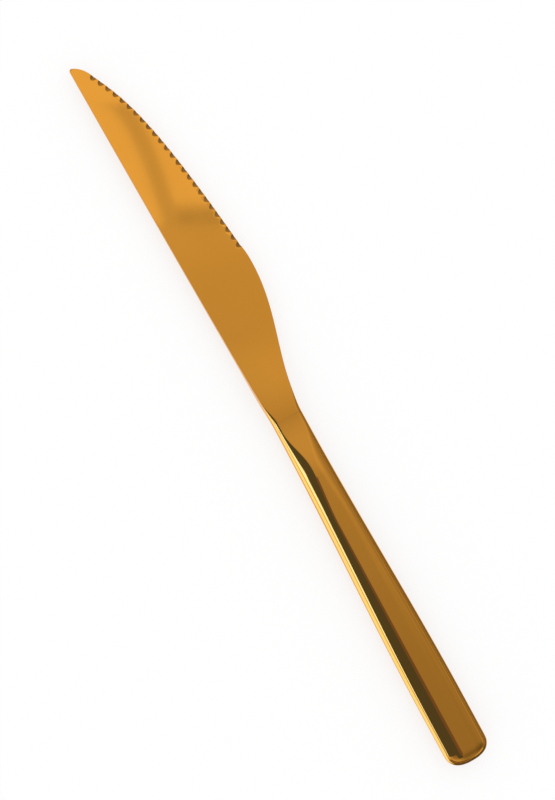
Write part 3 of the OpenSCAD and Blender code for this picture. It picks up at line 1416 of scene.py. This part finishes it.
# The bright panel that shows in the upper half of the blade, and its lower reach along the spine
PANEL_CARDS = (
    Card("panel_card", CardAxes.PICTURE, (-0.1125, 0.438), CEILING - 2 * LAYER, (0.475, 0.520), WHITE),
    Card("panel_foot_card", CardAxes.PICTURE, (-0.1525, 0.176), CEILING - 3 * LAYER, (0.395, 0.018), WHITE),
)
# The slim strip and the bar that show as a streak and a smudge in the upper blade
STREAK_CARDS = (
    Card(
        "panel_gap_card",
        CardAxes.PICTURE,
        middle=(0.03425, 0.2055),
        height=CEILING - 4 * LAYER,
        size=(0.009, 0.08505),
        level=(0.68, 0.70, 0.74),
        turn=math.radians(21.74),
    ),
    Card(
        "panel_bar_card",
        CardAxes.PICTURE,
        middle=(0.066, 0.171),
        height=CEILING - 5 * LAYER,
        size=(0.026, 0.008),
        level=(0.54, 0.56, 0.60),
    ),
)
# The cool, bright card on the picture's left, and the dark ones between it and the middle: a long
# one, one that the butt's corner shows and a dim strip over the handle
SPINE_SIDE_CARDS = (
    Card(
        "window_card",
        CardAxes.KNIFE,
        middle=(0.0, 0.0),
        height=CEILING - 6 * LAYER,
        size=WIDE,
        level=(1.5, 2.6, 7.5),
        lines=(((-1.0, 0.660), (1.0, 0.660)), ((0.060, 0.0), (0.060, 1.0)), BUTT_LINE),
    ),
    Card(
        "dark_card",
        CardAxes.KNIFE,
        middle=(0.0, 0.0),
        height=CEILING - 8 * LAYER,
        size=WIDE,
        level=DARK_LEVEL,
        lines=(
            DARK_START,
            ((0.120, 0.450), (-0.020, 0.950)),
            ((-0.020, 0.950), (-0.400, 2.000)),
            BUTT_LINE,
        ),
    ),
    Card(
        "butt_dark_card",
        CardAxes.KNIFE,
        middle=(0.0, 0.0),
        height=CEILING - 10 * LAYER,
        size=WIDE,
        level=DARK_LEVEL,
        lines=(
            DARK_START,
            ((1.0, 0.300), (-1.0, 0.300)),
            ((-0.600, 1.0), (-0.600, 0.0)),
            ((-0.150, 0.0), (-0.150, 1.0)),
        ),
    ),
    Card(
        "dim_strip_card",
        CardAxes.KNIFE,
        middle=(-0.175, 0.020),
        height=CEILING - 12 * LAYER,
        size=(0.29, 0.13),
        level=(0.20, 0.17, 0.28),
    ),
)
# The dim cards that stand on the edge's side and below the butt, just clear of the floor
STANDING_CARDS = (
    Card(
        "right_card",
        CardAxes.KNIFE,
        middle=(0.003, -1.1975),
        height=STANDING,
        size=(3.2, 0.27),
        level=EDGE_SIDE_LEVEL,
        upright=True,
    ),
    Card(
        "lower_card",
        CardAxes.PICTURE,
        middle=(0.0, -1.1),
        height=STANDING,
        size=(1.6, 0.27),
        level=BUTT_SIDE_LEVEL,
        upright=True,
    ),
)
# A bright sheet on the floor beside the spine, and dim ones beside the edge and below the butt
LYING_CARDS = (
    Card("left_floor_card", CardAxes.KNIFE, (-0.057, 0.3125), LYING, (0.13, 0.6), (1.5, 2.1, 4.2)),
    Card("right_floor_card", CardAxes.KNIFE, (-0.057, -0.3075), LYING, (0.13, 0.6), EDGE_SIDE_LEVEL),
    Card("butt_floor_card", CardAxes.KNIFE, (-0.417, 0.0025), LYING, (0.6, 0.5), BUTT_SIDE_LEVEL),
)


@dataclass(frozen=True)
class Studio:
    """The pale floor, the white room, the reflector cards and the camera, in metres."""

    centre: Triple = (0.00304, 0.002495, 0.0035)
    axis_turn: float = math.radians(28.7)
    camera_tilt: float = math.radians(8.0)
    camera_distance: float = 0.646
    lens: float = 100.0
    sensor: float = 36.0
    near_clip: float = 0.01
    floor_size: float = 6.0
    floor_drop: float = 0.0002
    floor_glow: float = 0.7
    ceiling_size: float = 9.0
    upward_levels: tuple[Pair, ...] = (
        (-2.4, 0.80),
        (-1.1, 0.65),
        (-0.55, 0.33),
        (-0.4, 0.30),
        (-0.17, 0.38),
        (-0.06, 0.46),
        (0.03, 0.56),
        (0.095, 0.65),
        (0.150, 0.73),
        (0.178, 0.76),
        (0.6, 0.78),
    )
    sideways_levels: tuple[Pair, ...] = (
        (0.19, 1.0),
        (0.45, 0.75),
        (1.0, 0.52),
        (1.5, 0.62),
        (2.4, 0.85),
    )
    cards: tuple[Card, ...] = PANEL_CARDS + STREAK_CARDS + SPINE_SIDE_CARDS + STANDING_CARDS + LYING_CARDS

    def up(self) -> Vector:
        """Gives the picture's upward direction on the floor.

        Returns:
            The direction.
        """
        return Vector((math.cos(self.axis_turn), -math.sin(self.axis_turn), 0.0))

    def picture_axes(self) -> Matrix:
        """Gives axes whose X is the picture's right and Y its up, on the floor below the picture's middle.

        Returns:
            The axes as a matrix.
        """
        up, over = self.up(), Vector((0.0, 0.0, 1.0))
        axes = Matrix((up.cross(over), up, over)).transposed().to_4x4()
        axes.translation = Vector((self.centre[0], self.centre[1], 0.0))
        return axes

    def camera(self) -> None:
        """Sets the camera over the knife, leaning to the spine's side."""
        lean = Vector((0.0, math.sin(self.camera_tilt), math.cos(self.camera_tilt)))
        up = self.up()
        up = (up - lean * up.dot(lean)).normalized()
        axes = Matrix((up.cross(lean), up, lean)).transposed().to_4x4()
        axes.translation = Vector(self.centre) + lean * self.camera_distance
        data = bpy.data.cameras.new("camera")
        data.lens = self.lens
        data.sensor_width = self.sensor
        data.clip_start = self.near_clip
        view = bpy.data.objects.new("camera", data)
        bpy.context.scene.collection.objects.link(view)
        view.matrix_world = axes
        bpy.context.scene.camera = view

    def world(self) -> None:
        """Fills the room with even white light."""
        world = bpy.data.worlds.new("white room")
        bpy.context.scene.world = world
        world.use_nodes = True
        light = world.node_tree.nodes["Background"]
        light.inputs["Color"].default_value = (*WHITE, 1.0)
        light.inputs["Strength"].default_value = 1.0
        world.cycles.sampling_method = "NONE"

    def floor(self) -> None:
        """Lays the pale floor, which glows a little so that its shadow stays soft."""
        deselect_all()
        bpy.ops.mesh.primitive_plane_add(size=self.floor_size, location=(0.0, 0.0, -self.floor_drop))
        sheet = bpy.context.view_layer.objects.active
        sheet.name = "floor"
        made, glow = self.glow("pale floor")
        tree = made.node_tree
        matt = add_node(tree, "ShaderNodeBsdfDiffuse", {"Color": (*WHITE, 1.0)})
        both = add_node(tree, "ShaderNodeMixShader", {"Fac": self.floor_glow})
        wire(
            tree,
            (matt.outputs["BSDF"], both.inputs[1]),
            (glow.outputs["Emission"], both.inputs[2]),
            (both.outputs["Shader"], tree.nodes["Material Output"].inputs["Surface"]),
        )
        sheet.data.materials.append(made)

    def blank_card(self, name: str, axes: Matrix, size: Pair) -> Piece:
        """Hangs a card that is seen only in reflections.

        Args:
            name: The card's name.
            axes: Its place and directions.
            size: Size along its own X and Y.

        Returns:
            The card.
        """
        deselect_all()
        bpy.ops.mesh.primitive_plane_add(size=1.0)
        sheet = bpy.context.view_layer.objects.active
        sheet.name = name
        open_mesh(sheet)
        select_mesh()
        resize((*size, 1.0))
        close_mesh()
        sheet.matrix_world = axes
        sheet.visible_camera = False
        sheet.visible_diffuse = False
        sheet.visible_shadow = False
        return sheet

    def glow(self, name: str) -> tuple[Material, bpy.types.Node]:
        """Starts a surface that shines evenly and lights nothing by itself.

        Args:
            name: The material's name.

        Returns:
            The material and its emission node.
        """
        made = new_material(name)
        made.cycles.emission_sampling = "NONE"
        tree = made.node_tree
        tree.nodes.remove(tree.nodes["Principled BSDF"])
        shine = tree.nodes.new("ShaderNodeEmission")
        tree.links.new(shine.outputs["Emission"], tree.nodes["Material Output"].inputs["Surface"])
        return made, shine

    def ramp(
        self, tree: Tree, value: Socket, stops: tuple[Pair, ...]
    ) -> Socket:
        """Maps a distance to a brightness through stops.

        Args:
            tree: The card's nodes.
            value: The distance, in metres.
            stops: Distance and brightness of each stop.

        Returns:
            The brightness.
        """
        low, high = stops[0][0], stops[-1][0]
        share = add_node(tree, "ShaderNodeMapRange", {"From Min": low, "From Max": high})
        colours = tree.nodes.new("ShaderNodeValToRGB")
        scale = colours.color_ramp
        scale.interpolation = "LINEAR"
        while len(scale.elements) < len(stops):
            scale.elements.new(0.5)
        for element, (at, level) in zip(scale.elements, stops):
            element.position = (at - low) / (high - low)
            element.color = (level, level, level, 1.0)
        wire(tree, (value, share.inputs["Value"]), (share.outputs["Result"], colours.inputs["Fac"]))
        return colours.outputs["Color"]

    def ceiling(self) -> None:
        """Hangs the wide ceiling card, brighter towards the picture's top and dimmer to its right."""
        axes = self.picture_axes() @ Matrix.Translation((0.0, 0.0, CEILING))
        sheet = self.blank_card("ceiling_card", axes, (self.ceiling_size, self.ceiling_size))
        made, shine = self.glow("ceiling card")
        tree = made.node_tree
        spot = tree.nodes.new("ShaderNodeTexCoord")
        parts = tree.nodes.new("ShaderNodeSeparateXYZ")
        tree.links.new(spot.outputs["Object"], parts.inputs["Vector"])
        both = add_node(tree, "ShaderNodeMix", {"Factor": 1.0}, data_type="RGBA", blend_type="MULTIPLY")
        wire(
            tree,
            (self.ramp(tree, parts.outputs["Y"], self.upward_levels), both.inputs["A"]),
            (self.ramp(tree, parts.outputs["X"], self.sideways_levels), both.inputs["B"]),
            (both.outputs["Result"], shine.inputs["Color"]),
        )
        sheet.data.materials.append(made)

    def axes_of(self, card: Card) -> Matrix:
        """Gives a card's place and directions.

        Args:
            card: The card.

        Returns:
            The axes as a matrix.
        """
        base = self.picture_axes() if card.axes is CardAxes.PICTURE else Matrix()
        lean = Matrix.Rotation(math.pi / 2.0 if card.upright else 0.0, 4, "X")
        turn = Matrix.Rotation(card.turn, 4, "Z")
        return base @ Matrix.Translation((*card.middle, card.height)) @ turn @ lean

    def trim(self, sheet: Piece, lines: tuple[Line, ...]) -> None:
        """Cuts a level card along lines, keeping what lies to the left of each line's run.

        Args:
            sheet: The card, along the knife's axes.
            lines: Start and end of each line on the card.
        """
        open_mesh(sheet)
        for start, end in lines:
            along = Vector((end[0] - start[0], end[1] - start[1], 0.0))
            place = sheet.matrix_world @ Vector((*start, 0.0))
            normal = along.cross(Vector((0.0, 0.0, 1.0))).normalized()
            select_mesh()
            bpy.ops.mesh.bisect(plane_co=place, plane_no=normal, clear_outer=True)
        close_mesh()

    def hang(self, card: Card) -> None:
        """Makes an even card and cuts it along its lines.

        Args:
            card: The card.
        """
        sheet = self.blank_card(card.name, self.axes_of(card), card.size)
        self.trim(sheet, card.lines)
        made, shine = self.glow(card.name)
        shine.inputs["Color"].default_value = (*card.level, 1.0)
        sheet.data.materials.append(made)

    def build(self) -> None:
        """Sets up the studio."""
        bpy.context.scene.view_settings.view_transform = "Standard"
        self.camera()
        self.world()
        self.floor()
        self.ceiling()
        for card in self.cards:
            self.hang(card)


BLADE_GOLD = GoldFinish(
    name="blade gold",
    colour=(0.80, 0.345, 0.044),
    deep_colour=(0.77, 0.325, 0.040),
    roughness=0.045,
    rubbed=0.01,
    haze=0.03,
    haze_scale=55.0,
    tone_scale=38.0,
    line_pitch=9000.0,
    line_length=160.0,
    line_height=2e-8,
)
# The gullets' ground finish: its higher roughness is real, but its colour, about half the blade's gold, is
# painted shade in the hollows
SHADED_GULLET_GOLD = GoldFinish(
    name="ground gullet gold with painted shade",
    colour=(0.44, 0.19, 0.034),
    deep_colour=(0.34, 0.15, 0.030),
    roughness=0.22,
    rubbed=0.08,
    haze=0.05,
    haze_scale=120.0,
    tone_scale=700.0,
    line_pitch=14000.0,
    line_length=14000.0,
    line_height=2e-7,
)
HANDLE_GOLD = GoldFinish(
    name="handle gold",
    colour=(0.80, 0.345, 0.046),
    deep_colour=(0.77, 0.330, 0.042),
    roughness=0.05,
    rubbed=0.015,
    haze=0.04,
    haze_scale=48.0,
    tone_scale=30.0,
    line_pitch=12000.0,
    line_length=120.0,
    line_height=1e-8,
)
WELD_GOLD = GoldFinish(
    name="weld gold",
    colour=(0.79, 0.340, 0.046),
    deep_colour=(0.74, 0.310, 0.040),
    roughness=0.08,
    rubbed=0.05,
    haze=0.05,
    haze_scale=90.0,
    tone_scale=180.0,
    line_pitch=9000.0,
    line_length=200.0,
    line_height=3e-8,
)
BRAZE_GOLD = GoldFinish(
    name="braze gold",
    colour=(0.79, 0.350, 0.052),
    deep_colour=(0.72, 0.310, 0.045),
    roughness=0.09,
    rubbed=0.04,
    haze=0.05,
    haze_scale=120.0,
    tone_scale=260.0,
    line_pitch=9000.0,
    line_length=400.0,
    line_height=3e-8,
)
CEMENT = CementFinish(
    name="tang cement", colour=(0.55, 0.52, 0.47), grain_colour=(0.30, 0.28, 0.25), roughness=0.85
)


def place_piece(piece: Piece, node: Node, ground: Ground) -> None:
    """Sets a piece down and ties it to the frame.

    Args:
        piece: The piece, about the joint.
        node: The solid that it stands for.
        ground: Where the joint stands.
    """
    ground.set_down(piece)
    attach(piece, Body.ROOT.value)
    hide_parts(node.value)
    piece.data.calc_loop_triangles()
    log.info("%s stands for %s, %d triangles", piece.name, node.value, len(piece.data.loop_triangles))


def main() -> None:
    """Builds the knife and its studio, piece by piece."""
    logging.basicConfig(level=logging.INFO, format="%(name)s: %(message)s")
    ground, joint, effects = Ground(), JointSection(), Effects()
    Studio().build()
    blade = Blade(joint).build(BLADE_GOLD.material(effects), SHADED_GULLET_GOLD.material(effects))
    place_piece(blade, Node.BLADE, ground)
    handle = Handle(joint).build(
        HANDLE_GOLD.material(effects), WELD_GOLD.material(effects), BRAZE_GOLD.material(effects)
    )
    for node, piece in handle.items():
        place_piece(piece, node, ground)
    cement = frame["nodes"][Node.CEMENT.value]
    cement.material_slots[0].material = CEMENT.material(effects)
    log.info("%s keeps its own solid", cement.name)
    deselect_all()


if __name__ == "__main__":
    main()
